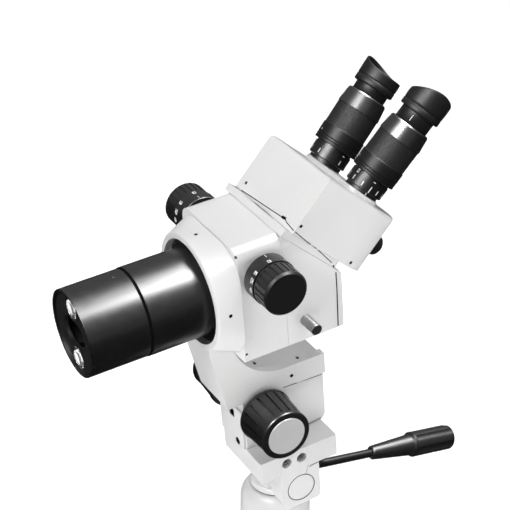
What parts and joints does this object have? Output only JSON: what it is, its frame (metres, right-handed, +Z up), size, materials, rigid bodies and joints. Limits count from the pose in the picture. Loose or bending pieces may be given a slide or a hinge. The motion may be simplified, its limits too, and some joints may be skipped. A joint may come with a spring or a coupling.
{
  "type": "colposcope head",
  "caption": "Stereo examination microscope head with a long lit objective barrel, slanted binocular eyepieces, zoom and focus knobs, tilting clamp and handle on a column.",
  "frame": {"origin": "centre of the stand column's lower face", "axes": "+Z up along the column, -Y the way the objective looks, +Y towards the operator, +X towards the tilt clamp's cheek"},
  "size_m": [0.1766, 0.3641, 0.4389],
  "materials": {
    "white_paint": "smooth white enamel, slightly glossy",
    "white_cast": "white enamel over a casting, faint grain",
    "white_cover": "white moulded plastic",
    "black_tube": "semi-gloss black anodised or lacquered tube",
    "black_satin": "black anodised, satin",
    "black_knob": "black moulded plastic",
    "black_rubber": "black rubber, matte",
    "leatherette": "black grained grip band",
    "black_paint": "black lacquered rod",
    "silver": "turned silver disc, satin",
    "steel": "machined steel",
    "dark_screw": "blackened screw",
    "reflector": "bright reflector",
    "glass": "coated lens glass",
    "filter_glass": "green filter glass",
    "washer": "plain friction washer"
  },
  "bodies": {
    "stand": {"column_tube": "white_paint", "swivel_washer": "washer"},
    "yoke": {"yoke": "white_paint", "pivot_pin": "white_paint", "friction_washer": "washer"},
    "tilt": {"tilt_plate": "white_paint", "clamp_cheek": "white_paint", "cheek_screws": "steel", "focus_housing": "white_paint", "pinion_bushes": "steel", "focus_end_cover": "white_cover", "end_cover_screw": "dark_screw"},
    "handle": {"handle_rod": "black_paint", "handle_grip": "black_knob"},
    "carriage": {"slide_rail": "steel", "focus_rack": "steel", "holder": "white_cast", "holder_screws": "dark_screw", "front_shell": "white_paint", "zoom_bushes": "black_satin", "rear_shell": "white_paint", "rear_cover": "white_cover", "cover_screws": "dark_screw", "power_socket": "black_knob", "mount_flange": "black_satin", "barrel_rear": "black_tube", "barrel_front": "black_tube", "front_plate": "black_satin", "lamp_cups": "reflector", "lamp_lenses": "glass", "objective_cell": "black_satin", "objective_lens": "glass", "head_seat": "white_paint", "head_housing": "white_paint", "head_base": "black_satin", "head_screws": "dark_screw"},
    "focus": {"pinion_shaft": "steel", "focus_knob_left": "black_knob", "focus_knob_right": "black_knob", "focus_cap_left": "silver", "focus_cap_right": "silver"},
    "zoom": {"zoom_shaft": "steel", "zoom_knob_left": "black_knob", "zoom_knob_right": "black_knob"},
    "filter": {"filter_rod": "steel", "filter_frame": "black_satin", "filter_glass": "filter_glass"},
    "eye_left": {"eye_tube_left": "black_satin", "diopter_scale_left": "black_satin"},
    "eye_right": {"eye_tube_right": "black_satin", "diopter_scale_right": "black_satin"},
    "ocular_left": {"eyepiece_left": "black_tube", "eye_sleeve_left": "leatherette", "eye_lens_left": "glass"},
    "ocular_right": {"eyepiece_right": "black_tube", "eye_sleeve_right": "leatherette", "eye_lens_right": "glass"},
    "cup_left": {"eyecup_left": "black_rubber"},
    "cup_right": {"eyecup_right": "black_rubber"},
    "spacing": {"spacing_knob": "black_knob"}
  },
  "joints": [
    {"name": "column_swivel", "type": "hinge", "parent": "stand", "child": "yoke", "pos_m": [0, 0, 0.05], "axis": [0, 0, 1], "continuous": true},
    {"name": "head_tilt", "type": "hinge", "parent": "yoke", "child": "tilt", "pos_m": [0, 0, 0.075], "axis": [1, 0, 0], "range_deg": [-34.4, 25.6]},
    {"name": "handle_turn", "type": "hinge", "parent": "tilt", "child": "handle", "pos_m": [0.033, 0.0187, 0.08348], "axis": [0, 0.9901, -0.14], "range_deg": [0, 180]},
    {"name": "focus_slide", "type": "slide", "parent": "tilt", "child": "carriage", "axis": [0, -0.997, -0.0776], "range_m": [-0.01, 0.01]},
    {"name": "focus_turn", "type": "hinge", "parent": "tilt", "child": "focus", "pos_m": [0, -0.02699, 0.15249], "axis": [1, 0, 0], "range_deg": [-96, 96]},
    {"name": "zoom_turn", "type": "hinge", "parent": "carriage", "child": "zoom", "pos_m": [0, -0.04196, 0.30995], "axis": [1, 0, 0], "range_deg": [-135, 135]},
    {"name": "filter_push", "type": "slide", "parent": "carriage", "child": "filter", "axis": [1, 0, 0], "range_m": [-0.01, 0]},
    {"name": "eye_spacing_left", "type": "slide", "parent": "carriage", "child": "eye_left", "axis": [1, 0, 0], "range_m": [-0.004, 0.0045]},
    {"name": "eye_spacing_right", "type": "slide", "parent": "carriage", "child": "eye_right", "axis": [1, 0, 0], "range_m": [-0.0045, 0.004]},
    {"name": "spacing_turn", "type": "hinge", "parent": "carriage", "child": "spacing", "pos_m": [0, 0.08558, 0.28359], "axis": [0, 0.7598, -0.6501], "range_deg": [-43, 38.5]},
    {"name": "diopter_turn_left", "type": "hinge", "parent": "eye_left", "child": "ocular_left", "pos_m": [-0.03005, 0.07357, 0.3603], "axis": [-0.0523, 0.6492, 0.7588], "range_deg": [-120, 120]},
    {"name": "cup_slide_left", "type": "slide", "parent": "ocular_left", "child": "cup_left", "axis": [-0.0523, 0.6492, 0.7588], "range_m": [0, 0.005]},
    {"name": "diopter_turn_right", "type": "hinge", "parent": "eye_right", "child": "ocular_right", "pos_m": [0.03005, 0.07357, 0.3603], "axis": [0.0523, 0.6492, 0.7588], "range_deg": [-120, 120]},
    {"name": "cup_slide_right", "type": "slide", "parent": "ocular_right", "child": "cup_right", "axis": [0.0523, 0.6492, 0.7588], "range_m": [-0.0035, 0.0015]}
  ],
  "couplings": [
    {"joint": "focus_turn", "follows": "focus_slide", "rad_per_m": 166.67},
    {"joint": "eye_spacing_right", "follows": "eye_spacing_left", "ratio": -1},
    {"joint": "spacing_turn", "follows": "eye_spacing_left", "rad_per_m": -150}
  ]
}
